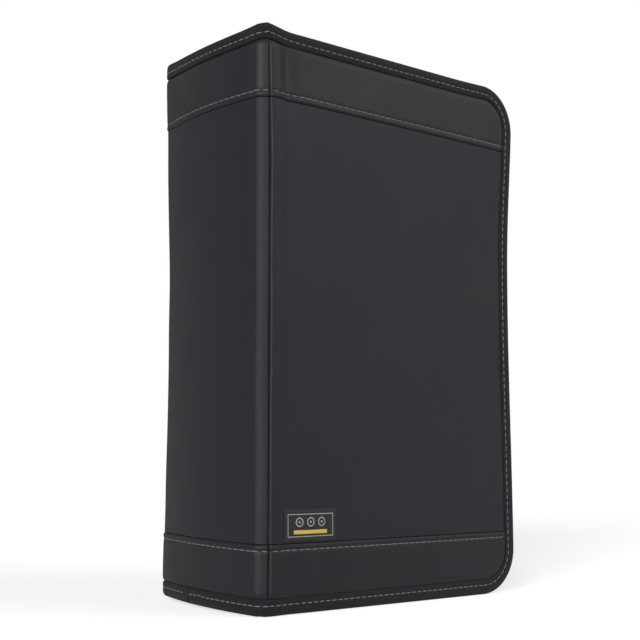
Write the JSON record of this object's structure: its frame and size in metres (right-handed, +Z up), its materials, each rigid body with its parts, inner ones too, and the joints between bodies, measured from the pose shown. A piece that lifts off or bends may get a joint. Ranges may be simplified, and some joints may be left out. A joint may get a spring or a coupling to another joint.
{
  "type": "cd storage case",
  "caption": "Upright zip-round fabric case for discs, with padded covers hinged on a crowned spine and sleeve pages inside.",
  "frame": {"origin": "bottom centre of the closed case's box, on the surface that it stands on", "axes": "+Z up along the spine, +X from the spine to the fore-edge, the front cover faces -Y"},
  "size_m": [0.1894, 0.091, 0.292],
  "materials": {
    "panel_nylon": "matt woven nylon",
    "band_nylon": "satin nylon",
    "hinge_nylon": "satin nylon",
    "binding": "ribbed tape",
    "foam": "soft foam",
    "board": "grey board",
    "lining": "plain woven",
    "gusset": "matt woven nylon",
    "zip_tape": "woven tape",
    "zip_chain": "moulded coil",
    "dark_metal": "dark lacquer",
    "label": "woven patch",
    "sleeve_film": "clear film on felt"
  },
  "bodies": {
    "spine": {"spine_centre_panel": "panel_nylon", "spine_top_band": "band_nylon", "spine_bottom_band": "band_nylon", "spine_foam": "foam", "spine_board": "board", "spine_lining": "lining", "spine_top_binding": "binding", "spine_bottom_binding": "binding", "front_hinge_strip": "hinge_nylon", "back_hinge_strip": "hinge_nylon", "page_anchor": "lining", "sleeve_pages": "sleeve_film", "top_gusset_end": "gusset", "top_tape_end_front": "zip_tape", "top_chain_end_front": "zip_chain", "top_tape_end_back": "zip_tape", "top_chain_end_back": "zip_chain", "top_zip_stop": "dark_metal", "bottom_gusset_end": "gusset", "bottom_tape_end_front": "zip_tape", "bottom_chain_end_front": "zip_chain", "bottom_tape_end_back": "zip_tape", "bottom_chain_end_back": "zip_chain", "bottom_zip_stop": "dark_metal"},
    "front_cover": {"front_centre_panel": "panel_nylon", "front_top_band": "band_nylon", "front_bottom_band": "band_nylon", "front_foam": "foam", "front_board": "board", "front_lining": "lining", "front_edge_binding": "binding", "front_gusset": "gusset", "front_zip_tape": "zip_tape", "front_zip_chain": "zip_chain", "front_label_patch": "label"},
    "back_cover": {"back_centre_panel": "panel_nylon", "back_top_band": "band_nylon", "back_bottom_band": "band_nylon", "back_foam": "foam", "back_board": "board", "back_lining": "lining", "back_edge_binding": "binding", "back_gusset": "gusset", "back_zip_tape": "zip_tape", "back_zip_chain": "zip_chain"},
    "slider": {"zip_slider": "dark_metal"},
    "pull": {"pull_tab": "dark_metal"}
  },
  "joints": [
    {"name": "front_cover_hinge", "type": "hinge", "parent": "spine", "child": "front_cover", "pos_m": [-0.0853, -0.0455, 0.146], "axis": [0, 0, -1], "range_deg": [0, 100]},
    {"name": "back_cover_hinge", "type": "hinge", "parent": "spine", "child": "back_cover", "pos_m": [-0.0853, 0.0455, 0.146], "axis": [0, 0, 1], "range_deg": [0, 100]},
    {"name": "slider_run", "type": "slide", "parent": "spine", "child": "slider", "axis": [1, 0, 0], "range_m": [0, 0.128]},
    {"name": "pull_tab_hinge", "type": "hinge", "parent": "slider", "child": "pull", "pos_m": [-0.0663, 0, 0.2899], "axis": [0, -1, 0], "range_deg": [0, 160]}
  ]
}
